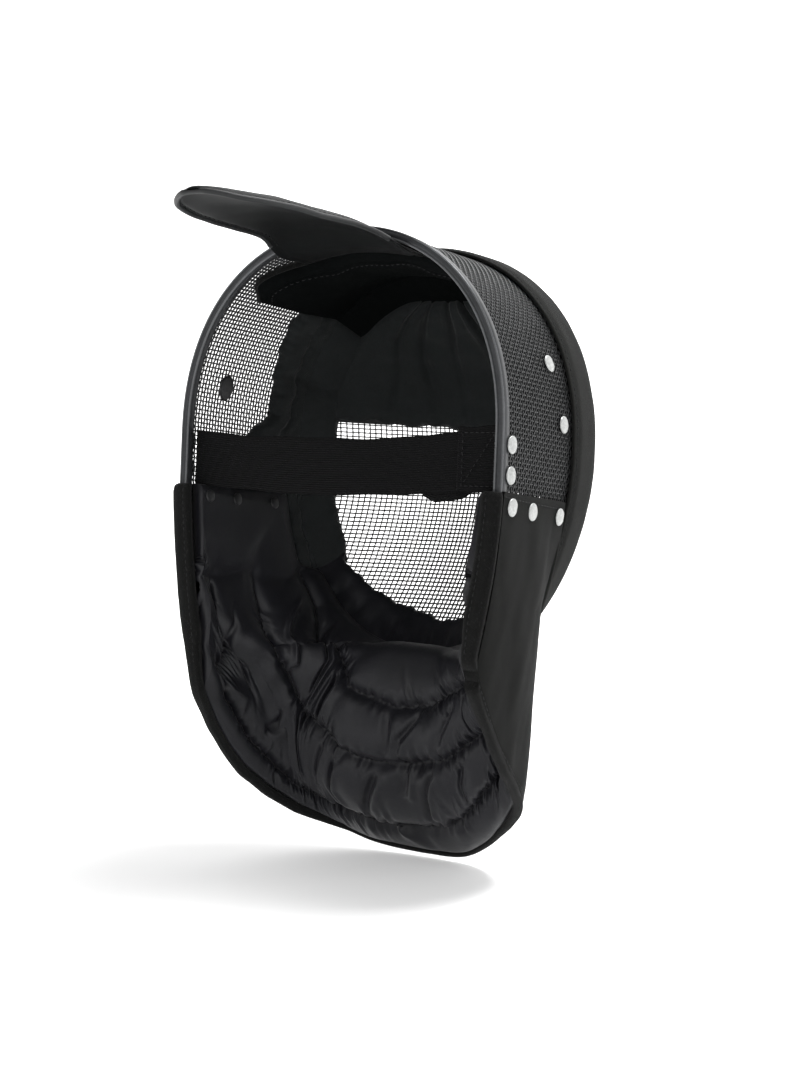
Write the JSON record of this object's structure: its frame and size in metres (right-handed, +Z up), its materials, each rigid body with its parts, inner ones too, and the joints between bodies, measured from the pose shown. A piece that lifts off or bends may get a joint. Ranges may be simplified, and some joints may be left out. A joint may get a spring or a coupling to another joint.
{
  "type": "fencing mask",
  "caption": "Fencing mask with a black wire-mesh face, a covered edge strip, a padded cloth bib, an elastic back strap and a spring tongue.",
  "frame": {"origin": "underside of the crown pad on the middle plane, where the crown of the head seats", "axes": "+X to the wearer's left, +Y to the rear, +Z up"},
  "size_m": [0.2555, 0.3557, 0.4214],
  "materials": {
    "mesh": "black painted steel wire",
    "rim": "grey painted",
    "strip": "black woven trim",
    "tongue": "black coated cloth over a spring",
    "strap": "black elastic webbing",
    "pad": "black brushed padding",
    "lining": "black satin nylon",
    "bib": "charcoal matte nylon",
    "edge": "black velvety binding",
    "rivet": "off-white",
    "rivet_back": "black"
  },
  "bodies": {
    "root": {"side_mesh": "mesh", "front_mesh": "mesh", "rear_rim": "rim", "cover_strip": "strip", "tongue": "tongue", "back_strap": "strap", "strap_tab": "strap", "crown_pad": "pad", "forehead_pad": "pad", "cheek_pad_left": "pad", "cheek_pad_right": "pad", "chin_pad": "lining", "bib": "bib", "bib_lining": "lining", "bib_edge": "edge", "side_spot": "rivet_back", "rivet_upper_strip_right": "rivet", "rivet_lower_strip_right": "rivet", "rivet_upper_rim_left": "rivet", "rivet_upper_rim_right": "rivet", "rivet_lower_rim_left": "rivet", "rivet_lower_rim_right": "rivet", "rivet_bib_rear_left": "rivet", "rivet_bib_rear_right": "rivet", "rivet_bib_middle_left": "rivet", "rivet_bib_middle_right": "rivet", "rivet_bib_front_left": "rivet", "rivet_bib_front_right": "rivet", "back_bib_rear_left": "rivet_back", "back_bib_rear_right": "rivet_back", "back_bib_middle_left": "rivet_back", "back_bib_middle_right": "rivet_back", "back_bib_front_left": "rivet_back", "back_bib_front_right": "rivet_back"}
  },
  "joints": []
}
